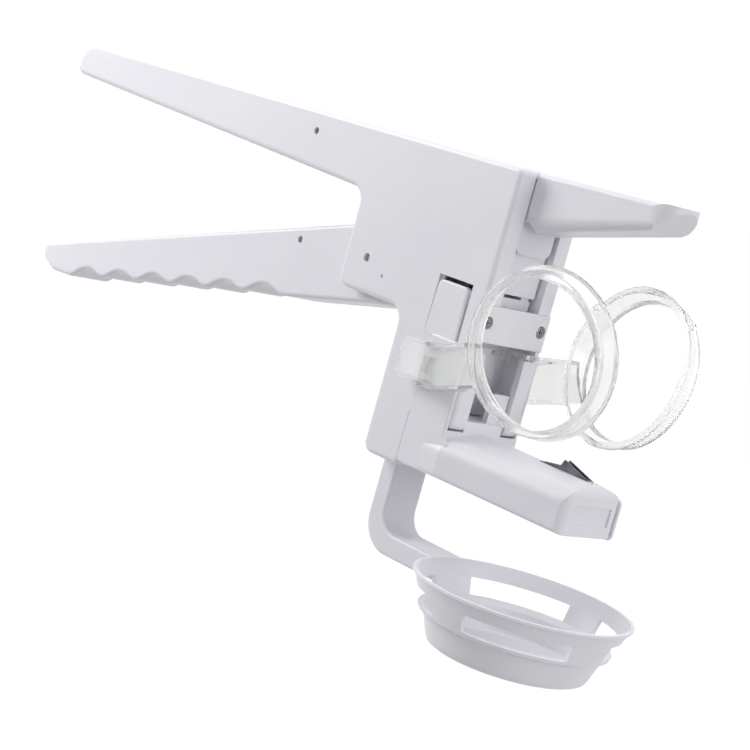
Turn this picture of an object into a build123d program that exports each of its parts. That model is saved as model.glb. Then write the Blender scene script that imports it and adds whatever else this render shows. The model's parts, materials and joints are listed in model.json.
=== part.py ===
from build123d import *
import os
from math import atan2, cos, hypot, radians, sin, tan

# Hand-held squeeze egg cracker with a clip-on egg separator.
#
# Every sub-part is drawn in tool coordinates: X runs forward from the column's front face, Y runs
# to the tool's left and Z runs up from the top face, all in millimetres. The whole tool is then
# moved so that its origin is the middle of the separator cup's flat base, below the egg.

# ---------------------------------------------------------------- body: handle, head and column
BODY_WIDTH = 26.0
HALF_WIDTH = BODY_WIDTH / 2
WALL = 2.0
EDGE_ROUND = 1.5
HANDLE_END_X = -208.6
HANDLE_END_DEPTH = 10.4
HANDLE_ROOT_DEPTH = 17.7
HEAD_REAR_X = -57.8
HEAD_BOTTOM_Z = -45.1
COLUMN_REAR_X = -30.3
COLUMN_BOTTOM_Z = -85.1
COLUMN_STEP_X = -15.3
COLUMN_STEP_Z = -70.4
SEAM = 0.3

# ---------------------------------------------------------------- front window and cross plate
WINDOW_HALF = 7.5
WINDOW_TOP_Z = -2.0
PLATE_TOP_Z = -36.4
PLATE_BOTTOM_Z = -46.4
PLATE_THICK = 1.6
PLATE_SCREW_Y = 10.2
PLATE_SCREW_Z = -41.0
NOTCH_BOTTOM_Z = -49.3
NOTCH_HALF = 10.7

# ---------------------------------------------------------------- trigger and its lever
PIVOT_X = -48.4
PIVOT_Z = -35.4
PIVOT_PIN_R = 1.2
RUNNING_GAP = 0.05
TRIGGER_HALF = 8.0
TRIGGER_WALL = 1.8
TRIGGER_SWING = 19.0
GROOVES = 6
GROOVE_PITCH = 17.9
GROOVE_R = 11.0
CREST_R = 7.0
GROOVE_RISE = 3.12
CREST_DROP = 0.58
GRIP_START = (-191.0, -74.6)
GRIP_SLOPE = 10.84
TRIGGER_SCREWS = ((-83.3, -37.6), (-193.0, -69.4))
LEVER_HALF = 2.9
PRESS_PIN_X = -6.5
PRESS_PIN_R = 1.5
FORK_GAP = 0.14
FORK_REACH = 2.0

# ---------------------------------------------------------------- press: nose and carriage
NOSE_HALF = 7.3
NOSE_TIP_X = 46.4
NOSE_REAR_X = 0.3
CARRIAGE_HALF = 6.6
WING_HALF = 10.4
WING_X = (-15.5, -9.5)
WEDGE_TOP_Z = -34.0
WEDGE_BOTTOM_Z = -46.8
WEDGE_SLOPE = 0.07
APRON_X = (-4.0, -2.5)
APRON_HALF = 7.0
APRON_BOTTOM_Z = -33.0
TONGUE_BOTTOM_Z = -22.0
BACK_WALL_X = (-11.2, -10.0)
SPRING_X = -12.6
SPRING_Y = 8.9
SPRING_R = 1.3
SPRING_WIRE_R = 0.35
SPRING_TURNS = 7
SPRING_TOP_Z = -20.0
SPRING_SEAT_Z = -45.3

# ---------------------------------------------------------------- blade arm, clipped on the column
ARM_RIDGE_Z = -70.4
ARM_ROOT_Z = -70.8
ARM_BOTTOM_Z = -83.4
ARM_END_BOTTOM_Z = -84.4
ARM_START_X = -7.0
ARM_END_X = 42.8
ARM_START_HALF = 14.1
ARM_ROOT_HALF = 14.7
ARM_END_HALF = 10.3
ARM_SHOULDER_DROP = 2.9
PLATE_PROUD = 1.0
TAB_X = (-18.6, -6.4)
TAB_TOP_Z = -33.9
POCKET_DEPTH = 1.2
POCKET_Z = (-48.9, -32.7)
CLIP_SLOT_Z = (-36.0, -32.7)
BLADE_START_X = 22.4
CLAMP_X = 25.0
CLAMP_TOP_Z = -81.8
CLAMP_THICK = 0.9
CLAMP_SCREW_Y = 4.4
BLADE_THICK = 0.5
BLADE_Y = 0.9
BLADE_TIP_X = 30.4
BLADE_TIP_Z = -67.9

# ---------------------------------------------------------------- egg rings
RING_X = 27.2
RING_Y = 18.0
RING_Z = -42.9
RING_OUTER_R = 20.3
RING_WALL = 1.5
RING_FLARE = 1.3
RING_BAND = 5.6
RING_TOE_IN = 7.4
RING_LEAN = 8.3
RING_PIVOT_X = -12.4
RING_PIVOT_Y = 15.6
RING_PIN_R = 0.85

# ---------------------------------------------------------------- separator
CUP_X = 28.9
CUP_BASE_Z = -122.4
CUP_RIM_Z = -104.7
CUP_RIM_R = 29.4
CUP_SLOT_Z = (-113.4, -108.7)
CUP_SLOT_ANGLE = 63.0
STEM_X = (-27.9, -22.1)
STEM_HALF = 6.1
STEM_TOP_Z = -64.0

# ---------------------------------------------------------------- fasteners
SCREW_R = 1.0
SCREW_HEAD_R = 1.9
SMALL_SCREW_R = 0.8
SMALL_HEAD_R = 1.45
CASE_SCREWS = ((-168.0, -7.4), (-83.0, -6.2), (-24.0, -9.0), (-20.0, -57.0))
BOSS_R = 2.9

TO_ORIGIN = Location((-CUP_X, 0, -CUP_BASE_Z))


# ================================================================ drawing helpers
def rounded_face(corners):
    """Face in X and Z from (x, z, radius) corners, each rounded with its own radius."""
    count = len(corners)
    stops = []
    for i, (x, z, radius) in enumerate(corners):
        if radius == 0:
            stops.append([(x, z)])
            continue
        ends = []
        for near in (corners[i - 1], corners[(i + 1) % count]):
            length = hypot(near[0] - x, near[1] - z)
            ends.append(((near[0] - x) / length, (near[1] - z) / length))
        (ax, az), (bx, bz) = ends
        half = atan2(hypot(ax - bx, az - bz), hypot(ax + bx, az + bz))
        run = radius / tan(half)
        middle_x, middle_z = ax + bx, az + bz
        middle = hypot(middle_x, middle_z)
        reach = radius / sin(half) - radius
        crown = (x + middle_x / middle * reach, z + middle_z / middle * reach)
        stops.append([(x + ax * run, z + az * run), crown, (x + bx * run, z + bz * run)])
    edges = []
    for i, stop in enumerate(stops):
        if len(stop) == 3:
            edges.append(ThreePointArc(*stop))
        following = stops[(i + 1) % count][0]
        if hypot(following[0] - stop[-1][0], following[1] - stop[-1][1]) > 1e-6:
            edges.append(Line(stop[-1], following))
    return make_face(edges)


def slab(face, low_y, high_y):
    """Extrudes a face drawn in X and Z from low_y to high_y."""
    return extrude(Plane.XZ.offset(-high_y) * face, amount=high_y - low_y)


def block(x, y, z):
    """Box between the (low, high) pairs of x, y and z."""
    centre = ((x[0] + x[1]) / 2, (y[0] + y[1]) / 2, (z[0] + z[1]) / 2)
    return Pos(*centre) * Box(x[1] - x[0], y[1] - y[0], z[1] - z[0])


def rod_y(x, z, radius, low_y, high_y):
    """Round rod along Y."""
    middle = (low_y + high_y) / 2
    return Pos(x, middle, z) * Rot(90, 0, 0) * Cylinder(radius, high_y - low_y)


def rod_z(x, y, radius, low_z, high_z):
    """Round rod along Z."""
    return Pos(x, y, (low_z + high_z) / 2) * Cylinder(radius, high_z - low_z)


def rod_x(y, z, radius, low_x, high_x):
    """Round rod along X."""
    return Pos((low_x + high_x) / 2, y, z) * Rot(0, 90, 0) * Cylinder(radius, high_x - low_x)


def ruled_beam(sections):
    """Beam along X through (x, half_width, low_z, high_z, low_radius, high_radius) sections."""
    faces = []
    for x, half_width, low_z, high_z, low_radius, high_radius in sections:
        faces.append(across(x, rounded_face([
            (-half_width, high_z, high_radius),
            (half_width, high_z, high_radius),
            (half_width, low_z, low_radius),
            (-half_width, low_z, low_radius),
        ])))
    return loft(faces, ruled=True)


def across(x, face):
    """Stands a face drawn in Y and Z at x."""
    return Pos(x, 0, 0) * Rot(0, 0, 90) * Rot(90, 0, 0) * face


def half(solid, side):
    """The right (side -1) or left (side +1) half of a solid."""
    keep = Pos(-80, side * 50, -60) * Box(400, 100, 300)
    return solid & keep


def screw_y(x, z, radius, head_radius, head_y, tip_y):
    """Pan-head cross-recess screw along Y, with its head at head_y and its tip at tip_y."""
    way = 1 if tip_y > head_y else -1
    height = head_radius * 0.6
    low, high = sorted((head_y, head_y + way * height))
    head = rod_y(x, z, head_radius, low, high)
    outer = head.faces().sort_by(Axis.Y)[0 if way > 0 else -1]
    head = fillet(outer.edges(), height * 0.55)
    low, high = sorted((head_y + way * height * 0.5, tip_y))
    solid = head + rod_y(x, z, radius, low, high)
    for turn in (0, 90):
        low, high = sorted((head_y - way * 0.1, head_y + way * height * 0.62))
        cross = Box(head_radius * 1.2, high - low, head_radius * 0.3)
        solid -= Pos(x, (low + high) / 2, z) * Rot(0, turn, 0) * cross
    return solid


# ================================================================ body shells
def body_outline(inset=0.0):
    """Side outline of handle, head and column, drawn inset by a wall."""
    face = rounded_face([
        (0.0, 0.0, 1.8),
        (HANDLE_END_X, 0.0, 7.6),
        (HANDLE_END_X, -HANDLE_END_DEPTH, 2.6),
        (HEAD_REAR_X, -HANDLE_ROOT_DEPTH - 0.2, 4.6),
        (HEAD_REAR_X, HEAD_BOTTOM_Z, 3.6),
        (COLUMN_REAR_X, HEAD_BOTTOM_Z, 4.5),
        (COLUMN_REAR_X, COLUMN_BOTTOM_Z, 3.0),
        (COLUMN_STEP_X, COLUMN_BOTTOM_Z, 1.8),
        (COLUMN_STEP_X, COLUMN_STEP_Z, 0.8),
        (0.0, COLUMN_STEP_Z, 1.8),
    ])
    return offset(face, -inset, kind=Kind.INTERSECTION) if inset else face


def body_shell(side):
    """One half of the casing, with its bosses, ribs and openings."""
    solid = slab(body_outline(), -HALF_WIDTH, HALF_WIDTH)
    rims = solid.faces().filter_by(Axis.Y).edges()
    solid = fillet(rims, EDGE_ROUND)
    solid -= slab(body_outline(WALL), -HALF_WIDTH + WALL, HALF_WIDTH - WALL)
    solid += body_ribs()
    for cutter in body_cutters():
        solid -= cutter
    solid = half(solid, side)
    seam = slab(body_outline(), -SEAM / 2, SEAM / 2) - slab(body_outline(SEAM), -SEAM / 2, SEAM / 2)
    solid -= seam
    if side < 0:
        solid -= rod_y(PIVOT_X + 7.8, PIVOT_Z - 3.4, 0.5, -HALF_WIDTH - 1, -HALF_WIDTH + 0.5)
    return solid


def body_ribs():
    """Screw and pivot bosses, spring seats, the channel's back wall and the stem's socket walls."""
    inner = HALF_WIDTH - WALL
    ribs = []
    for x, z in CASE_SCREWS:
        reach = inner + 0.5
        boss = rod_y(x, z, BOSS_R, -reach, reach)
        ribs.append(boss & slab(body_outline(WALL - 0.5), -reach, reach))
    for side in (-1, 1):
        low, high = sorted((side * (TRIGGER_HALF + 0.4), side * (inner + 0.5)))
        ribs.append(rod_y(PIVOT_X, PIVOT_Z, 4.2, low, high))
        low, high = sorted((side * 7.0, side * (inner + 0.5)))
        seat_x = (SPRING_X - 2.6, SPRING_X + 2.6)
        ribs.append(block(seat_x, (low, high), (SPRING_SEAT_Z - 1.4, SPRING_SEAT_Z)))
        low, high = sorted((side * (WINDOW_HALF + 0.1), side * (WINDOW_HALF + 1.1)))
        ribs.append(block((-8.6, -WALL + 0.3), (low, high), (-44.0, -WALL + 0.3)))
        low, high = sorted((side * (STEM_HALF + 0.25), side * (STEM_HALF + 1.75)))
        ribs.append(block((-28.8, -20.0), (low, high), (COLUMN_BOTTOM_Z + 1.5, STEM_TOP_Z + 1.5)))
    front = STEM_X[1] + 0.25
    ribs.append(block((front, front + 1.5), (-inner - 0.5, inner + 0.5), (COLUMN_BOTTOM_Z + 1.5, STEM_TOP_Z)))
    ribs.append(block(BACK_WALL_X, (-inner - 0.5, inner + 0.5), (COLUMN_STEP_Z + 1.9, SPRING_SEAT_Z - 1.2)))
    return Part() + ribs


def body_cutters():
    """Window, trigger opening, stem socket, clip slots and holes of the casing."""
    deep = HALF_WIDTH + 2
    cutters = [
        block((-WALL - 0.5, 1), (-WINDOW_HALF, WINDOW_HALF), (COLUMN_STEP_Z - 1, WINDOW_TOP_Z)),
        block((-PLATE_THICK - 0.05, 1), (-deep, deep), (PLATE_BOTTOM_Z - 0.05, PLATE_TOP_Z + 0.05)),
        block((-WALL - 0.5, 1), (-NOTCH_HALF, NOTCH_HALF), (NOTCH_BOTTOM_Z, PLATE_BOTTOM_Z)),
        block((-14.2, -0.4), (-WINDOW_HALF, WINDOW_HALF), (COLUMN_STEP_Z - 1, COLUMN_STEP_Z + WALL + 1)),
        block((HEAD_REAR_X - 2, HEAD_REAR_X + 3.5), (-9.6, 9.6), (HEAD_BOTTOM_Z - 1, -21.0)),
        block((HEAD_REAR_X - 2, COLUMN_REAR_X - 3.9), (-9.6, 9.6), (HEAD_BOTTOM_Z - 1, HEAD_BOTTOM_Z + 3.5)),
        block((STEM_X[0] - 0.25, STEM_X[1] + 0.25), (-STEM_HALF - 0.25, STEM_HALF + 0.25),
              (COLUMN_BOTTOM_Z - 1, STEM_TOP_Z + 2)),
        block((TAB_X[0] + 0.4, TAB_X[1] - 0.4), (-deep, deep), CLIP_SLOT_Z),
        rod_y(PIVOT_X, PIVOT_Z, PIVOT_PIN_R + 0.02, -deep, deep),
    ]
    for x, z in CASE_SCREWS:
        cutters.append(rod_y(x, z, SCREW_R + 0.02, -HALF_WIDTH + 3, deep))
        cutters.append(rod_y(x, z, SCREW_HEAD_R + 0.1, HALF_WIDTH - 1.6, deep))
    visible_x, visible_z = CASE_SCREWS[1]
    cutters.append(rod_y(visible_x, visible_z, SCREW_R + 0.02, -deep, 0))
    for side in (-1, 1):
        y = side * PLATE_SCREW_Y
        cutters.append(rod_x(y, PLATE_SCREW_Z, SMALL_SCREW_R + 0.02, -WALL - 1, 1))
        low, high = sorted((side * (HALF_WIDTH - POCKET_DEPTH), side * deep))
        cutters.append(block((TAB_X[0] - 0.45, TAB_X[1] + 0.45), (low, high), POCKET_Z))
        low, high = sorted((side * (HALF_WIDTH - 0.9), side * deep))
        cutters.append(block((COLUMN_STEP_X - 0.55, COLUMN_STEP_X + 0.3), (low, high), (-90.0, -62.4)))
    return cutters


def case_screws():
    """Four screws that hold the left shell to the right one."""
    head_y = HALF_WIDTH - 0.4
    long_tip = -HALF_WIDTH + 0.8
    solids = []
    for i, (x, z) in enumerate(CASE_SCREWS):
        tip_y = long_tip if i == 1 else -HALF_WIDTH + 3.2
        solids.append(screw_y(x, z, SCREW_R, SCREW_HEAD_R, head_y, tip_y))
    return solids


def pivot_pin():
    """Steel pin that the trigger turns on."""
    reach = HALF_WIDTH - 1.0
    pin = rod_y(PIVOT_X, PIVOT_Z, PIVOT_PIN_R, -reach, reach)
    return chamfer(pin.faces().filter_by(Axis.Y).edges(), 0.25)


def front_plate():
    """Cross plate that ties the column's two front flanges together."""
    width = HALF_WIDTH - 0.35
    plate = block((-PLATE_THICK, 0.15), (-width, width), (PLATE_BOTTOM_Z, PLATE_TOP_Z))
    plate = fillet(plate.faces().sort_by(Axis.X)[-1].edges(), 0.35)
    for side in (-1, 1):
        y = side * PLATE_SCREW_Y
        plate -= rod_x(y, PLATE_SCREW_Z, SMALL_SCREW_R + 0.05, -WALL - 1, 1)
        plate -= rod_x(y, PLATE_SCREW_Z, SMALL_HEAD_R + 0.3, -1.05, 1)
    return plate


def plate_screws():
    """The front plate's two screws, their heads sunk in the plate."""
    solids = []
    for side in (-1, 1):
        screw = screw_y(0, 0, SMALL_SCREW_R, SMALL_HEAD_R, 0, 2.6)
        solids.append(Pos(-0.17, side * PLATE_SCREW_Y, PLATE_SCREW_Z) * Rot(0, 0, 90) * screw)
    return solids


# ================================================================ trigger
def grip_point(along, rise):
    """Point in X and Z at a distance along the grip's crests, raised square to them."""
    slope = radians(GRIP_SLOPE)
    x = GRIP_START[0] + along * cos(slope) - rise * sin(slope)
    z = GRIP_START[1] + along * sin(slope) + rise * cos(slope)
    return x, z


def trigger_outline():
    """Side outline of the squeeze trigger, with a wave of finger grooves along its underside."""
    wave = []
    for i in range(GROOVES):
        wave.append((*grip_point(i * GROOVE_PITCH, -CREST_DROP), CREST_R if i else 5.0))
        wave.append((*grip_point((i + 0.5) * GROOVE_PITCH, GROOVE_RISE), GROOVE_R))
    return rounded_face([
        (-208.9, -68.1, 1.8),
        (-209.3, -72.6, 3.4),
        (-202.0, -75.6, 5.0),
        *wave,
        (*grip_point(GROOVES * GROOVE_PITCH, -CREST_DROP), 5.0),
        (-52.0, -48.4, 12.0),
        (-41.4, -46.6, 2.4),
        (-37.6, -37.0, 5.0),
        (-44.6, -24.4, 5.0),
        (-58.6, -27.1, 10.0),
    ])


def trigger_hollow():
    """Side outline of the trigger's hollow, clear of the finger grooves."""
    return rounded_face([
        (-204.0, -68.7, 0.8),
        (-204.0, -72.9, 1.5),
        (*grip_point(2.0, 4.2), 6.0),
        (*grip_point(GROOVES * GROOVE_PITCH - 2.0, 4.2), 4.0),
        (-84.0, -51.9, 4.0),
        (-52.4, -46.4, 8.0),
        (-43.0, -44.8, 1.0),
        (-39.9, -37.3, 3.0),
        (-45.6, -26.8, 3.0),
        (-58.6, -29.0, 8.0),
    ])


def trigger_solid():
    """Whole trigger casing, hollow, before it is split along its middle."""
    solid = slab(trigger_outline(), -TRIGGER_HALF, TRIGGER_HALF)
    solid = fillet(solid.faces().filter_by(Axis.Y).edges(), 1.2)
    inner = TRIGGER_HALF - TRIGGER_WALL
    solid -= slab(trigger_hollow(), -inner, inner)
    ribs = []
    for x, z in TRIGGER_SCREWS:
        ribs.append(rod_y(x, z, 2.4, -inner - 0.4, inner + 0.4))
    for side in (-1, 1):
        low, high = sorted((side * (LEVER_HALF + 0.05), side * (inner + 0.4)))
        ribs.append(rod_y(PIVOT_X, PIVOT_Z, 4.6, low, high))
        ribs.append(rod_y(-72.0, -42.0, 3.2, low, high))
    solid += ribs
    solid -= rod_y(PIVOT_X, PIVOT_Z, PIVOT_PIN_R + RUNNING_GAP, -TRIGGER_HALF - 1, TRIGGER_HALF + 1)
    solid -= block((-45.8, -30.0), (-LEVER_HALF - 0.3, LEVER_HALF + 0.3), (-43.0, -27.0))
    return solid


def trigger_shell(side):
    """One half of the trigger casing."""
    solid = trigger_solid()
    for i, (x, z) in enumerate(TRIGGER_SCREWS):
        low = -TRIGGER_HALF - 1 if i == 0 else -TRIGGER_HALF + 2.5
        solid -= rod_y(x, z, SCREW_R + 0.02, low, TRIGGER_HALF + 1)
        solid -= rod_y(x, z, SCREW_HEAD_R + 0.1, TRIGGER_HALF - 1.3, TRIGGER_HALF + 1)
    return half(solid, side)


def trigger_screws():
    """Two screws that hold the trigger's halves together."""
    solids = []
    for i, (x, z) in enumerate(TRIGGER_SCREWS):
        tip_y = -TRIGGER_HALF + (0.7 if i == 0 else 2.7)
        solids.append(screw_y(x, z, SCREW_R, SCREW_HEAD_R, TRIGGER_HALF - 0.1, tip_y))
    return solids


def trigger_lever():
    """Lever held in the trigger, with a fork that drives the press pin."""
    rise = (PRESS_PIN_X - PIVOT_X) * tan(radians(TRIGGER_SWING / 2))
    pin_z = PIVOT_Z + rise
    tilt = radians(TRIGGER_SWING / 2)
    reach = PRESS_PIN_X + FORK_REACH
    tip_z = pin_z + FORK_REACH * tan(tilt)
    outline = rounded_face([
        (PIVOT_X + 2, PIVOT_Z + 4.4, 6.0),
        (reach, tip_z + 3.4, 1.5),
        (reach, tip_z - 3.4, 1.5),
        (PIVOT_X + 2, PIVOT_Z - 4.4, 6.0),
        (-78.0, -45.4, 3.0),
        (-78.0, -38.6, 3.0),
    ])
    lever = slab(outline, -LEVER_HALF, LEVER_HALF)
    slot = Box(10.4, 2 * LEVER_HALF + 2, 2 * (PRESS_PIN_R + FORK_GAP))
    lever -= Pos(PRESS_PIN_X + 1.9, 0, pin_z + 1.9 * tan(tilt)) * Rot(0, -TRIGGER_SWING / 2, 0) * slot
    lever -= rod_y(PIVOT_X, PIVOT_Z, PIVOT_PIN_R + RUNNING_GAP, -LEVER_HALF - 1, LEVER_HALF + 1)
    lever -= rod_y(-72.0, -42.0, 1.2, -LEVER_HALF - 1, LEVER_HALF + 1)
    return lever


# ================================================================ press
def press_nose():
    """Tapered nose that bears on the egg, with its neck through the window."""
    outline = rounded_face([
        (NOSE_REAR_X, 2.0, 0),
        (NOSE_TIP_X, 2.0, 0),
        (NOSE_TIP_X, -0.1, 0.8),
        (NOSE_TIP_X - 7.0, -7.1, 0),
        (NOSE_TIP_X - 7.0, -20.0, 0),
        (NOSE_REAR_X + 3.8, -20.0, 0),
        (NOSE_REAR_X, -10.0, 3.8),
    ])
    nose = ruled_beam([
        (NOSE_REAR_X, NOSE_HALF, -15.8, 0.0, 4.0, 1.4),
        (NOSE_TIP_X, NOSE_HALF, -4.7, 1.2, 2.0, 1.4),
    ])
    nose = nose & slab(outline, -10, 10)
    plan = rounded_face([
        (-1.0, -NOSE_HALF, 0),
        (NOSE_TIP_X, -NOSE_HALF, 6.6),
        (NOSE_TIP_X, NOSE_HALF, 6.6),
        (-1.0, NOSE_HALF, 0),
    ])
    nose = nose & (Pos(0, 0, -30) * extrude(plan, amount=50))
    nose += block((-1.0, NOSE_REAR_X + 1), (-7.1, 7.1), (-13.2, -2.4))
    return nose - rod_x(0, -8.0, SCREW_R + 0.02, -2, 10)


def wedge_half(z):
    """Half width of the spreading wedge at height z."""
    return 6.05 + WEDGE_SLOPE * (z - (PLATE_BOTTOM_Z - 2.2))


def press_carriage():
    """Slider behind the window, with the pin's cheeks and the wedge that spreads the rings."""
    body = block((-9.5, -1.0), (-CARRIAGE_HALF, CARRIAGE_HALF), (TONGUE_BOTTOM_Z, -3.0))
    corners = [e for e in body.edges().filter_by(Axis.X) if e.center().Z < -20]
    body = fillet(corners, 2.6)
    wings = block((WING_X[0], WING_X[1] + 0.5), (-WING_HALF, WING_HALF), (SPRING_TOP_Z, -6.0))
    cheeks = block((-9.3, -3.6), (-6.2, 6.2), (WEDGE_TOP_Z, -21.0))
    wedge = Plane.YZ.offset(-9.3) * make_face(Polyline(
        (-wedge_half(WEDGE_TOP_Z), WEDGE_TOP_Z),
        (wedge_half(WEDGE_TOP_Z), WEDGE_TOP_Z),
        (wedge_half(WEDGE_BOTTOM_Z), WEDGE_BOTTOM_Z),
        (-wedge_half(WEDGE_BOTTOM_Z), WEDGE_BOTTOM_Z),
        close=True,
    ))
    lever_room = LEVER_HALF + 0.35
    apron = block(APRON_X, (-APRON_HALF, APRON_HALF), (APRON_BOTTOM_Z, TONGUE_BOTTOM_Z + 1))
    apron -= block((-5.0, APRON_X[1] - 0.8), (-lever_room, lever_room), (-34.0, -20.0))
    carriage = body + wings + cheeks + extrude(wedge, amount=5.7)
    pin_z = PIVOT_Z + (PRESS_PIN_X - PIVOT_X) * tan(radians(TRIGGER_SWING / 2))
    carriage -= block((-12, 0), (-lever_room, lever_room), (WEDGE_TOP_Z + 0.01, TONGUE_BOTTOM_Z - 0.01))
    carriage += apron
    carriage -= rod_y(PRESS_PIN_X, pin_z, PRESS_PIN_R + 0.02, -8, 8)
    carriage -= rod_x(0, -8.0, SCREW_R + 0.02, -17, 1)
    carriage -= rod_x(0, -8.0, SCREW_HEAD_R + 0.1, -17, -8.3)
    return carriage


def press_pin():
    """Pin across the carriage that the lever's fork drives."""
    pin_z = PIVOT_Z + (PRESS_PIN_X - PIVOT_X) * tan(radians(TRIGGER_SWING / 2))
    pin = rod_y(PRESS_PIN_X, pin_z, PRESS_PIN_R, -6.0, 6.0)
    return chamfer(pin.faces().filter_by(Axis.Y).edges(), 0.3)


def press_screw():
    """Screw from the carriage into the nose's neck."""
    screw = screw_y(0, 0, SCREW_R, SCREW_HEAD_R, 0, 15.0)
    return Pos(-9.6, 0, -8.0) * Rot(0, 0, -90) * screw


def press_spring(side):
    """Compression spring between a body seat and the carriage's wing."""
    height = SPRING_TOP_Z - SPRING_SEAT_Z - 2 * SPRING_WIRE_R - 0.2
    base = SPRING_SEAT_Z + SPRING_WIRE_R + 0.1
    path = Helix(pitch=height / SPRING_TURNS, height=height, radius=SPRING_R)
    wire = Plane(path @ 0, z_dir=path % 0) * Circle(SPRING_WIRE_R)
    coil = sweep(wire, path=path)
    return Pos(SPRING_X, side * SPRING_Y, base) * coil


# ================================================================ blade arm
def arm_section(x, half_width, low_z):
    """Section of the arm: upright sides under a shallow ridge with broad rounded shoulders."""
    shoulder_z = ARM_RIDGE_Z - ARM_SHOULDER_DROP
    return across(x, rounded_face([
        (0.0, ARM_RIDGE_Z, 8.0),
        (half_width, shoulder_z, 5.0),
        (half_width, low_z, 1.2),
        (-half_width, low_z, 1.2),
        (-half_width, shoulder_z, 5.0),
    ]))


def arm_beam():
    """The arm itself, ridged on top, with a sunk panel and a lip at its end."""
    beam = loft([
        arm_section(ARM_START_X, ARM_START_HALF, ARM_BOTTOM_Z),
        arm_section(0.0, ARM_ROOT_HALF, ARM_BOTTOM_Z),
        arm_section(ARM_END_X, ARM_END_HALF, ARM_END_BOTTOM_Z),
    ], ruled=True)
    side_view = rounded_face([
        (ARM_START_X, -90.0, 0),
        (ARM_END_X, -90.0, 0),
        (ARM_END_X, ARM_RIDGE_Z + 0.5, 4.5),
        (ARM_START_X, ARM_RIDGE_Z + 0.5, 3.5),
    ])
    beam = beam & slab(side_view, -20, 20)
    plan = rounded_face([
        (ARM_START_X, -20.0, 0),
        (ARM_END_X - 8.0, -20.0, 0),
        (ARM_END_X - 8.0, -ARM_END_HALF - 0.87, 0),
        (ARM_END_X, -ARM_END_HALF - 0.05, 3.0),
        (ARM_END_X, ARM_END_HALF + 0.05, 3.0),
        (ARM_END_X - 8.0, ARM_END_HALF + 0.87, 0),
        (ARM_END_X - 8.0, 20.0, 0),
        (ARM_START_X, 20.0, 0),
    ])
    beam = beam & (Pos(0, 0, -100) * extrude(plan, amount=60))
    beam -= block((ARM_END_X - 0.6, ARM_END_X + 1), (-7.0, 7.2), (-81.3, -76.5))
    return beam


def end_lip():
    """Thin lip round the far side of the arm's end, a narrow groove away from it."""
    outline = rounded_face([
        (ARM_END_X - 4.6, -74.0, 2.0),
        (ARM_END_X - 0.8, -74.0, 1.8),
        (ARM_END_X - 0.8, -85.2, 1.8),
        (ARM_END_X - 4.6, -85.2, 1.2),
    ])
    lip = slab(outline, 11.0, 11.8)
    lip = fillet(lip.faces().filter_by(Axis.Y).edges(), 0.3)
    root = block((ARM_END_X - 4.2, ARM_END_X - 2.4), (9.5, 11.4), (-82.5, -76.0))
    return lip + root


def blade_arm():
    """Arm under the egg, with side plates that clip onto the column."""
    width = HALF_WIDTH + 0.9
    under = block((COLUMN_STEP_X + 0.3, -0.8), (-width, width), (ARM_BOTTOM_Z, ARM_ROOT_Z))
    rear = [e for e in under.edges().filter_by(Axis.Y) if e.center().X < -10 and e.center().Z < -80]
    under = fillet(rear, 1.0)
    root = block((-14.0, -0.7), (-7.1, 7.1), (ARM_ROOT_Z - 1, -67.7))
    tongue = block((-3.2, -1.4), (1.2, 7.1), (ARM_ROOT_Z - 1, -59.6))
    arm = arm_beam() + under + side_plates() + root + tongue + end_lip()
    slot_half = BLADE_THICK / 2 + 0.05
    for side in (-1, 1):
        y = side * BLADE_Y
        slot = (y - slot_half, y + slot_half)
        arm -= block((BLADE_START_X - 0.1, ARM_END_X - 1.6), slot, (-79.1, ARM_RIDGE_Z + 1))
        arm -= block((BLADE_START_X - 0.1, BLADE_START_X + 6.1), slot, (-83.0, -79.0))
        arm -= rod_z(CLAMP_X, side * CLAMP_SCREW_Y, SMALL_SCREW_R + 0.02, -83.0, -77.6)
    return arm - block((CLAMP_X - 3.7, CLAMP_X + 3.7), (-6.6, 6.6), (-86.0, CLAMP_TOP_Z + 0.05))


def side_plates():
    """Two thin plates with snap tabs, and the lugs that hold the ring pins."""
    lower = rounded_face([
        (COLUMN_STEP_X + 0.3, ARM_BOTTOM_Z, 1.2),
        (COLUMN_STEP_X + 0.3, -48.2, 0.6),
        (-4.0, -48.2, 0.6),
        (-0.8, -49.4, 1.0),
        (-0.8, -73.0, 1.0),
        (1.4, -74.2, 0),
        (1.4, ARM_BOTTOM_Z, 0),
    ])
    tab = rounded_face([
        (TAB_X[0], -49.6, 0.5),
        (TAB_X[0] + 0.5, TAB_TOP_Z, 1.6),
        (TAB_X[1] - 0.5, TAB_TOP_Z, 1.6),
        (TAB_X[1], -49.6, 0.5),
    ])
    solids = []
    for side in (-1, 1):
        low, high = sorted((side * (HALF_WIDTH + 0.04), side * (HALF_WIDTH + PLATE_PROUD)))
        plate = slab(lower, low, high)
        plate = fillet(outer_edges(plate, side), 0.5)
        low, high = sorted((side * (HALF_WIDTH - POCKET_DEPTH + 0.1), side * (HALF_WIDTH + 0.6)))
        snap = slab(tab, low, high) & block((-30, 0), (-20, 20), (POCKET_Z[0] + 0.05, -30))
        snap = fillet([e for e in outer_edges(snap, side) if e.center().Z > POCKET_Z[0] + 0.5], 0.5)
        low, high = sorted((side * (HALF_WIDTH - 2.3), side * (HALF_WIDTH - POCKET_DEPTH + 0.3)))
        hook = block((TAB_X[0] + 0.9, TAB_X[1] - 0.9), (low, high), (TAB_TOP_Z - 1.9, TAB_TOP_Z - 0.6))
        solids += [plate, snap, hook]
        solids += ring_lugs(side)
    return Part() + solids


def outer_edges(plate, side):
    """Edges of a flat plate's outward face."""
    return plate.faces().filter_by(Axis.Y).sort_by(Axis.Y)[-1 if side > 0 else 0].edges()


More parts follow.
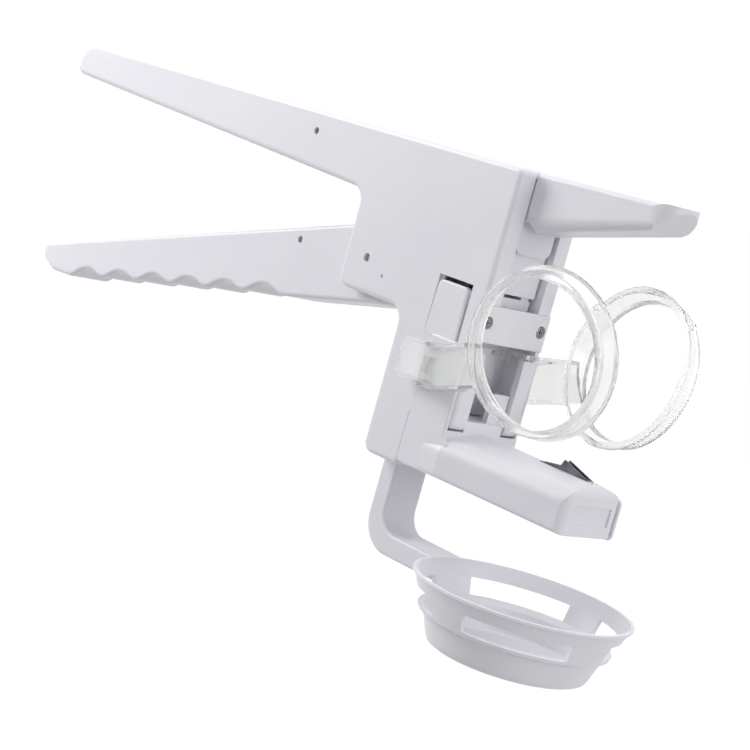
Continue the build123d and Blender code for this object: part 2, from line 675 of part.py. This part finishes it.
def ring_lugs(side):
    """Upper and lower lug on a side plate, which hold the ring's pin."""
    lugs = []
    for low_z, high_z in ((-53.9, -52.3), (-60.1, -58.5)):
        y = side * RING_PIVOT_Y
        low, high = sorted((side * (HALF_WIDTH + 0.5), y))
        lug = block((RING_PIVOT_X - 1.6, RING_PIVOT_X + 1.6), (low, high), (low_z, high_z))
        lug += rod_z(RING_PIVOT_X, y, 1.6, low_z, high_z)
        lugs.append(lug - rod_z(RING_PIVOT_X, y, RING_PIN_R + 0.01, low_z - 1, high_z + 1))
    return lugs


def blade(side):
    """Steel cracking blade, a low fin along the arm's ridge with a tang down to the clamp."""
    outline = make_face(Polyline(
        (BLADE_START_X, CLAMP_TOP_Z),
        (BLADE_START_X + 6.0, CLAMP_TOP_Z),
        (BLADE_START_X + 6.0, -79.0),
        (ARM_END_X - 1.8, -79.0),
        (ARM_END_X - 1.8, -72.0),
        (ARM_END_X - 2.4, -70.9),
        (BLADE_TIP_X, BLADE_TIP_Z),
        (BLADE_TIP_X - 0.9, -69.7),
        (BLADE_START_X, -70.6),
        close=True,
    ))
    y = side * BLADE_Y
    return slab(outline, y - BLADE_THICK / 2, y + BLADE_THICK / 2)


def blade_clamp():
    """Small plate, sunk in the arm's underside, that holds both blades' tangs."""
    clamp = block((CLAMP_X - 3.5, CLAMP_X + 3.5), (-6.4, 6.4), (CLAMP_TOP_Z - CLAMP_THICK, CLAMP_TOP_Z))
    for side in (-1, 1):
        clamp -= rod_z(CLAMP_X, side * CLAMP_SCREW_Y, SMALL_SCREW_R + 0.05, -86, -80)
    return clamp


def blade_screws():
    """Two screws that hold the blade clamp from below."""
    head_z = CLAMP_TOP_Z - CLAMP_THICK - SMALL_HEAD_R * 0.6
    solids = []
    for side in (-1, 1):
        screw = screw_y(0, 0, SMALL_SCREW_R, SMALL_HEAD_R, 0, 5.4)
        solids.append(Pos(CLAMP_X, side * CLAMP_SCREW_Y, head_z) * Rot(90, 0, 0) * screw)
    return solids


# ================================================================ rings
def ring_pin(side):
    """Steel hinge pin of one ring arm."""
    return rod_z(RING_PIVOT_X, side * RING_PIVOT_Y, RING_PIN_R, -61.9, -50.3)


def ring_band(side):
    """Flared clear band that cradles one end of the egg."""
    inner = RING_OUTER_R - RING_WALL
    lip = 0.35
    half_band = RING_BAND / 2
    profile = make_face(Polyline(
        (inner, half_band),
        (RING_OUTER_R + lip, half_band),
        (RING_OUTER_R + lip, half_band - 0.8),
        (RING_OUTER_R + 0.2, half_band - 1.2),
        (RING_OUTER_R + RING_FLARE - 0.2, -half_band + 1.2),
        (RING_OUTER_R + RING_FLARE + lip, -half_band + 0.8),
        (RING_OUTER_R + RING_FLARE + lip, -half_band),
        (inner + RING_FLARE, -half_band),
        close=True,
    ))
    band = revolve(Plane.XZ * profile, Axis.Z)
    nub = Pos(RING_OUTER_R + 1.0, 0, 0.4) * Box(1.9, 1.3, 1.0)
    band += Rot(0, 0, -48 * side) * nub
    return ring_plane(side) * band


def ring_plane(side):
    """Where a ring stands: its local Z is the outward normal and its local X points forward."""
    toe = radians(RING_TOE_IN)
    lean = radians(RING_LEAN)
    outward = (sin(toe) * cos(lean), side * cos(toe) * cos(lean), -sin(lean))
    forward = (cos(toe), -side * sin(toe), 0)
    return Plane(origin=(RING_X, side * RING_Y, RING_Z), x_dir=forward, z_dir=outward)


def ring_arm_side(inset):
    """Side outline of a ring's arm, drawn inset by its wall."""
    return rounded_face([
        (-21.6 - inset, -50.7 - inset, 0),
        (-6.0, -49.9 - inset, 8.0),
        (0.6, -47.4 - inset, 4.0),
        (10.4 + inset, -45.0 - inset, 0),
        (12.4 + inset, -56.3 + inset, 0),
        (-5.0, -61.6 + inset, 8.0),
        (-21.6 - inset, -61.9 + inset, 0),
    ])


def ring_arm(side):
    """Channel-shaped arm behind a ring, with the finger that the wedge pushes."""
    def at(points):
        return [(x, side * y) for x, y in points]

    tall = slab(ring_arm_side(0.0), -30, 30)
    web = extrude(make_face(Polyline(*at([
        (-21.6, 16.4), (-12.4, 17.9), (1.0, 19.7), (11.6, 20.2),
        (11.6, 21.0), (1.0, 20.4), (-12.4, 18.6), (-21.6, 17.1)]), close=True)), amount=40)
    flange = extrude(make_face(Polyline(*at([
        (-21.6, 15.5), (-15.2, 14.9), (-12.4, 14.5), (0.7, 14.5), (0.7, 13.4), (2.4, 13.4),
        (4.4, 17.4), (10.4, 19.9), (11.4, 20.8), (1.0, 20.4), (-12.4, 18.6), (-21.6, 17.1)]),
        close=True)), amount=40)
    web = (Pos(0, 0, -80) * web) & tall
    flange = (Pos(0, 0, -80) * flange) & tall
    flange -= slab(ring_arm_side(1.0), -30, 30)
    arm = web + flange
    arm = arm & block((-30, 12), (-30, 30), (-70, -40))
    low, high = sorted((side * 6.3, side * 15.4))
    strip = block((0.7, 2.4), (low, high), (-48.6, -47.4))
    low, high = sorted((side * 6.3, side * 7.4))
    strip += block((-8.0, 2.4), (low, high), (-48.6, -47.4))
    strip += block((-8.0, -4.2), (low, high), (-50.8, -47.4))
    arm += strip
    bore = rod_z(RING_PIVOT_X, side * RING_PIVOT_Y, RING_PIN_R + RUNNING_GAP, -70, -40)
    return arm - bore


def egg_ring(side):
    """Ring and arm, moulded in one clear piece."""
    plane = ring_plane(side)
    clearance = plane * Pos(0, 0, 0) * Cylinder(RING_OUTER_R - RING_WALL + 1.0, 30)
    arm = ring_arm(side) - clearance
    return arm + ring_band(side)


# ================================================================ separator
def cup_profile():
    """Half section of the cup, from its axis to the rim and back down the inside."""
    z = CUP_RIM_Z
    base = CUP_BASE_Z
    outer = [
        (0, base), (20.2, base), (21.2, base + 0.5), (21.8, base + 1.5), (24.0, -114.9),
        (25.5, -114.3), (25.8, -113.4), (27.4, -108.7), (28.7, z - 1.0), (CUP_RIM_R, z - 0.7), (CUP_RIM_R, z),
    ]
    inner = [
        (28.4, z), (27.7, z - 1.2), (26.2, -108.7), (24.6, -113.1), (24.0, -113.6),
        (22.8, -114.5), (20.6, base + 1.9), (19.6, base + 1.3), (0, base + 1.3),
    ]
    return make_face(Polyline(*(outer + inner), close=True))


def egg_separator():
    """Cup that catches the yolk, on a stem that plugs into the column."""
    cup = Pos(CUP_X, 0, 0) * revolve(Plane.XZ * cup_profile(), Axis.Z)
    stem_side = rounded_face([
        (STEM_X[0], STEM_TOP_Z, 1.2),
        (STEM_X[0], -110.9, 9.5),
        (1.6, -110.9, 0),
        (-0.4, -104.8, 0),
        (STEM_X[1], -104.8, 6.0),
        (STEM_X[1], STEM_TOP_Z, 1.2),
    ])
    stem = slab(stem_side, -STEM_HALF, STEM_HALF)
    stem = fillet(stem.faces().filter_by(Axis.Y).edges(), 0.8)
    stem -= Pos(CUP_X, 0, -110) * Cylinder(27.6, 30)
    solid = cup + stem
    low, high = CUP_SLOT_Z
    for middle in (46.5, 133.5, -46.5, -133.5):
        arc = slot_sector(middle)
        solid -= Pos(CUP_X, 0, low) * extrude(arc, amount=high - low)
    return solid


def slot_sector(middle):
    """Plan of one drain slot, a sector of a ring about the cup's axis."""
    start = radians(middle - CUP_SLOT_ANGLE / 2)
    end = radians(middle + CUP_SLOT_ANGLE / 2)
    turn = radians(middle)
    near, far = 18.0, 34.0
    edges = [
        Line((near * cos(start), near * sin(start)), (far * cos(start), far * sin(start))),
        ThreePointArc(
            (far * cos(start), far * sin(start)),
            (far * cos(turn), far * sin(turn)),
            (far * cos(end), far * sin(end)),
        ),
        Line((far * cos(end), far * sin(end)), (near * cos(end), near * sin(end))),
        ThreePointArc(
            (near * cos(end), near * sin(end)),
            (near * cos(turn), near * sin(turn)),
            (near * cos(start), near * sin(start)),
        ),
    ]
    return make_face(edges)


# ================================================================ writing the nodes
def all_parts():
    """Every node's name with its solid or list of solids."""
    return {
        "right_shell": body_shell(-1),
        "left_shell": body_shell(1),
        "case_screws": case_screws(),
        "pivot_pin": pivot_pin(),
        "front_plate": front_plate(),
        "plate_screws": plate_screws(),
        "trigger_right_shell": trigger_shell(-1),
        "trigger_left_shell": trigger_shell(1),
        "trigger_screws": trigger_screws(),
        "trigger_lever": trigger_lever(),
        "press_nose": press_nose(),
        "press_carriage": press_carriage(),
        "press_pin": press_pin(),
        "press_screw": press_screw(),
        "right_press_spring": press_spring(-1),
        "left_press_spring": press_spring(1),
        "blade_arm": blade_arm(),
        "right_blade": blade(-1),
        "left_blade": blade(1),
        "blade_clamp": blade_clamp(),
        "blade_screws": blade_screws(),
        "right_ring_pin": ring_pin(-1),
        "left_ring_pin": ring_pin(1),
        "right_ring": egg_ring(-1),
        "left_ring": egg_ring(1),
        "egg_separator": egg_separator(),
    }


os.makedirs("parts", exist_ok=True)
for name, shape in all_parts().items():
    pieces = shape if isinstance(shape, list) else [shape]
    moved = [TO_ORIGIN * piece for piece in pieces]
    whole = moved[0] if len(moved) == 1 else Compound(children=moved)
    export_step(whole, f"parts/{name}.step")
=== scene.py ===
import json
from math import cos, radians, sin

import bpy
from mathutils import Matrix, Vector

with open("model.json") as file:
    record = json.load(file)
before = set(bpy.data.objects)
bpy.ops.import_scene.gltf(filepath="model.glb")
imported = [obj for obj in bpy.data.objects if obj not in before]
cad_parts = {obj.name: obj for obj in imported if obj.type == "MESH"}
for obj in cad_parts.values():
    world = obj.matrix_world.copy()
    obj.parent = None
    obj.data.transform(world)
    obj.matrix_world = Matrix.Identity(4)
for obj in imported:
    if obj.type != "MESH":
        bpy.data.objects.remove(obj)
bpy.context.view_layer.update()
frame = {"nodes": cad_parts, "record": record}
scene = bpy.context.scene

# ---------------------------------------------------------------- view
CAMERA_PLACE = (0.3389, -0.3945, 0.1278)
CAMERA_AZIMUTH = 46.39
CAMERA_ELEVATION = 7.23
CAMERA_ROLL = 15.54
CAMERA_LENS = 98.7
SENSOR_WIDTH = 36.0
VIEW_DEPTH = 20.0


def add_camera():
    """Long-lens camera, turned about its own axis so that the tool hangs nose up."""
    azimuth = radians(CAMERA_AZIMUTH)
    elevation = radians(CAMERA_ELEVATION)
    roll = radians(CAMERA_ROLL)
    back = Vector((
        sin(azimuth) * cos(elevation),
        -cos(azimuth) * cos(elevation),
        sin(elevation),
    ))
    right = Vector((cos(azimuth), sin(azimuth), 0))
    up = back.cross(right)
    across = cos(roll) * right + sin(roll) * up
    upward = cos(roll) * up - sin(roll) * right
    turned = Matrix((across, upward, back)).transposed().to_4x4()
    data = bpy.data.cameras.new("camera")
    data.lens = CAMERA_LENS
    data.sensor_width = SENSOR_WIDTH
    data.clip_end = VIEW_DEPTH
    camera = bpy.data.objects.new("camera", data)
    camera.matrix_world = Matrix.Translation(CAMERA_PLACE) @ turned
    scene.collection.objects.link(camera)
    scene.camera = camera


# ---------------------------------------------------------------- material helpers
def new_material(name):
    """Material with an empty node tree, its Principled shader and a place to read object coordinates."""
    material = bpy.data.materials.new(name)
    material.use_nodes = True
    nodes = material.node_tree.nodes
    nodes.clear()
    output = nodes.new("ShaderNodeOutputMaterial")
    shader = nodes.new("ShaderNodeBsdfPrincipled")
    material.node_tree.links.new(shader.outputs["BSDF"], output.inputs["Surface"])
    where = nodes.new("ShaderNodeTexCoord").outputs["Object"]
    return material, shader, where


def stretched(material, where, scale):
    """Object coordinates multiplied by a scale for each axis."""
    mapping = material.node_tree.nodes.new("ShaderNodeMapping")
    mapping.inputs["Scale"].default_value = scale
    material.node_tree.links.new(where, mapping.inputs["Vector"])
    return mapping.outputs["Vector"]


def noise(material, where, scale, detail=3.0, roughness=0.5):
    """Noise texture's factor at a scale in cycles a metre."""
    node = material.node_tree.nodes.new("ShaderNodeTexNoise")
    node.inputs["Scale"].default_value = scale
    node.inputs["Detail"].default_value = detail
    node.inputs["Roughness"].default_value = roughness
    material.node_tree.links.new(where, node.inputs["Vector"])
    return node.outputs["Fac"]


def ramp(material, factor, stops):
    """Colour ramp through (position, colour) stops."""
    node = material.node_tree.nodes.new("ShaderNodeValToRGB")
    elements = node.color_ramp.elements
    while len(elements) < len(stops):
        elements.new(0.5)
    for element, (position, colour) in zip(elements, stops):
        element.position = position
        element.color = (*colour, 1.0)
    material.node_tree.links.new(factor, node.inputs["Fac"])
    return node.outputs["Color"]


def spread(material, factor, low, high):
    """Maps a 0 to 1 factor onto low to high."""
    node = material.node_tree.nodes.new("ShaderNodeMapRange")
    node.inputs["To Min"].default_value = low
    node.inputs["To Max"].default_value = high
    material.node_tree.links.new(factor, node.inputs["Value"])
    return node.outputs["Result"]


def bump(material, shader, height, distance, strength, under=None):
    """Bump of a given depth in metres, on top of an earlier bump if there is one."""
    node = material.node_tree.nodes.new("ShaderNodeBump")
    node.inputs["Distance"].default_value = distance
    node.inputs["Strength"].default_value = strength
    material.node_tree.links.new(height, node.inputs["Height"])
    if under is not None:
        material.node_tree.links.new(under, node.inputs["Normal"])
    material.node_tree.links.new(node.outputs["Normal"], shader.inputs["Normal"])
    return node.outputs["Normal"]


# ---------------------------------------------------------------- materials
# Depths of the bumps, in metres.
MOULD_WAVES = 0.0003
MOULD_GRAIN = 0.00002
CLEAR_STREAKS = 0.00003
STEEL_GRAIN = 0.00002

WHITE_PLASTIC_IOR = 1.49
CLEAR_PLASTIC_IOR = 1.4
CLEAR_TRANSMISSION = 0.87


def moulded_plastic(name, dark, light, roughness):
    """White moulded plastic: faint colour drift, a satin skin with flow marks and a fine grain."""
    material, shader, where = new_material(name)
    links = material.node_tree.links
    drift = noise(material, where, 22.0, 4.0, 0.55)
    links.new(ramp(material, drift, [(0.3, dark), (0.7, light)]), shader.inputs["Base Color"])
    flow = noise(material, stretched(material, where, (30.0, 120.0, 120.0)), 1.0, 5.0, 0.6)
    links.new(spread(material, flow, roughness - 0.06, roughness + 0.08), shader.inputs["Roughness"])
    waves = noise(material, where, 60.0, 2.0)
    first = bump(material, shader, waves, MOULD_WAVES, 0.25)
    grain = noise(material, where, 2600.0, 2.0)
    bump(material, shader, grain, MOULD_GRAIN, 0.35, first)
    shader.inputs["Specular IOR Level"].default_value = 0.5
    shader.inputs["IOR"].default_value = WHITE_PLASTIC_IOR
    return material


def clear_plastic(name):
    """Clear moulded plastic with a trace of green, flow streaks and slightly uneven gloss."""
    material, shader, where = new_material(name)
    links = material.node_tree.links
    drift = noise(material, where, 90.0, 3.0)
    tint = ramp(material, drift, [(0.3, (0.94, 0.95, 0.93)), (0.7, (0.985, 0.99, 0.98))])
    links.new(tint, shader.inputs["Base Color"])
    streaks = noise(material, stretched(material, where, (60.0, 260.0, 60.0)), 1.0, 4.0)
    links.new(spread(material, streaks, 0.09, 0.22), shader.inputs["Roughness"])
    bump(material, shader, streaks, CLEAR_STREAKS, 0.3)
    shader.inputs["Transmission Weight"].default_value = CLEAR_TRANSMISSION
    shader.inputs["IOR"].default_value = CLEAR_PLASTIC_IOR
    return material


def steel(name, dark, light, roughness, along=(1.0, 1.0, 1.0), grain_scale=900.0):
    """Steel with a drawn or ground grain, faint stains and uneven gloss."""
    material, shader, where = new_material(name)
    links = material.node_tree.links
    stains = noise(material, where, 240.0, 4.0)
    links.new(ramp(material, stains, [(0.3, dark), (0.7, light)]), shader.inputs["Base Color"])
    scale = tuple(grain_scale * part for part in along)
    grain = noise(material, stretched(material, where, scale), 1.0, 3.0)
    links.new(spread(material, grain, roughness - 0.1, roughness + 0.12), shader.inputs["Roughness"])
    bump(material, shader, grain, STEEL_GRAIN, 0.5)
    shader.inputs["Metallic"].default_value = 1.0
    return material


def paint_nodes():
    """Gives every CAD node its material."""
    casing = moulded_plastic("casing_plastic", (0.79, 0.785, 0.825), (0.825, 0.82, 0.855), 0.36)
    inner = moulded_plastic("inner_plastic", (0.74, 0.74, 0.785), (0.79, 0.79, 0.83), 0.45)
    clear = clear_plastic("ring_plastic")
    blades = steel("blade_steel", (0.07, 0.07, 0.08), (0.16, 0.16, 0.18), 0.34, (1.0, 1.0, 0.08))
    zinc = steel("screw_zinc", (0.26, 0.26, 0.28), (0.42, 0.42, 0.44), 0.28)
    pins = steel("pin_steel", (0.45, 0.45, 0.47), (0.6, 0.6, 0.62), 0.28, (1.0, 0.1, 1.0))
    springs = steel("spring_wire", (0.35, 0.35, 0.37), (0.5, 0.5, 0.52), 0.3)
    finishes = {
        "white_casing": casing,
        "white_inner": inner,
        "clear_plastic": clear,
        "blade_steel": blades,
        "zinc_screw": zinc,
        "steel_pin": pins,
        "spring_steel": springs,
    }
    slots = {part["node"]: part["material_slot"] for part in frame["record"]["subparts"]}
    for name, obj in frame["nodes"].items():
        obj.data.materials.clear()
        obj.data.materials.append(finishes[slots[name]])


# ---------------------------------------------------------------- studio
SURROUND_LIGHT = 0.43     # strength of the surround as it lights the tool
SURROUND_SEEN = 1.1       # strength of the surround as the camera sees it
FLOOR_GLOW = 1.2          # strength of the floor's own light
FLOOR_GLOW_SHARE = 0.8    # how much of that light is mixed into the paper
FLOOR_HALF = 12.0
FLOOR_Z = -0.026          # clear of the cup when the separator is pulled fully down


def area_light(name, place, target, size, power):
    """Square white soft light at place, facing target."""
    data = bpy.data.lights.new(name, "AREA")
    data.shape = "SQUARE"
    data.size = size
    data.energy = power
    light = bpy.data.objects.new(name, data)
    light.location = place
    facing = Vector(target) - Vector(place)
    light.rotation_euler = facing.to_track_quat("-Z", "Y").to_euler()
    scene.collection.objects.link(light)


def seen_directly(tree):
    """1 where a ray comes straight from the camera, off gloss or through clear plastic, else 0."""
    path = tree.nodes.new("ShaderNodeLightPath")
    total = path.outputs["Is Camera Ray"]
    for kind in ("Is Transmission Ray", "Is Glossy Ray"):
        either = tree.nodes.new("ShaderNodeMath")
        either.operation = "MAXIMUM"
        tree.links.new(total, either.inputs[0])
        tree.links.new(path.outputs[kind], either.inputs[1])
        total = either.outputs["Value"]
    return total


def add_floor():
    """Pale floor, lit from within as a light table is, so that it matches the white surround."""
    mesh = bpy.data.meshes.new("floor")
    signs = ((-1, -1), (1, -1), (1, 1), (-1, 1))
    corners = [(x * FLOOR_HALF, y * FLOOR_HALF, FLOOR_Z) for x, y in signs]
    mesh.from_pydata(corners, [], [(0, 1, 2, 3)])
    floor = bpy.data.objects.new("floor", mesh)
    scene.collection.objects.link(floor)
    material, shader, where = new_material("floor_paper")
    tree = material.node_tree
    drift = noise(material, where, 3.0)
    tone = ramp(material, drift, [(0.3, (0.41, 0.41, 0.42)), (0.7, (0.43, 0.43, 0.44))])
    tree.links.new(tone, shader.inputs["Base Color"])
    shader.inputs["Roughness"].default_value = 0.9
    glow = tree.nodes.new("ShaderNodeEmission")
    glow.inputs["Strength"].default_value = FLOOR_GLOW
    share = tree.nodes.new("ShaderNodeMath")
    share.operation = "MULTIPLY"
    share.inputs[1].default_value = FLOOR_GLOW_SHARE
    tree.links.new(seen_directly(tree), share.inputs[0])
    mix = tree.nodes.new("ShaderNodeMixShader")
    tree.links.new(share.outputs["Value"], mix.inputs["Fac"])
    tree.links.new(shader.outputs["BSDF"], mix.inputs[1])
    tree.links.new(glow.outputs["Emission"], mix.inputs[2])
    output = next(node for node in tree.nodes if node.type == "OUTPUT_MATERIAL")
    tree.links.new(mix.outputs["Shader"], output.inputs["Surface"])
    mesh.materials.append(material)


def add_surround():
    """White surround whose light on the tool is softer than it looks."""
    world = bpy.data.worlds.new("studio")
    world.use_nodes = True
    tree = world.node_tree
    strength = tree.nodes.new("ShaderNodeMapRange")
    strength.inputs["To Min"].default_value = SURROUND_LIGHT
    strength.inputs["To Max"].default_value = SURROUND_SEEN
    tree.links.new(seen_directly(tree), strength.inputs["Value"])
    background = tree.nodes["Background"]
    background.inputs["Color"].default_value = (0.97, 0.97, 1.0, 1.0)
    tree.links.new(strength.outputs["Result"], background.inputs["Strength"])
    scene.world = world


def add_studio():
    """Floor, surround and soft lights."""
    add_floor()
    add_surround()
    area_light("key", (-0.64, -0.42, 0.38), (-0.18, 0.0, 0.1), 0.4, 3.6)
    area_light("top", (-0.1, 0.1, 1.1), (-0.05, 0.0, 0.0), 1.0, 6.0)
    area_light("front", (0.8, 0.08, 0.3), (0.0, 0.0, 0.08), 0.5, 2.3)
    scene.view_settings.view_transform = "Standard"


add_camera()
paint_nodes()
add_studio()
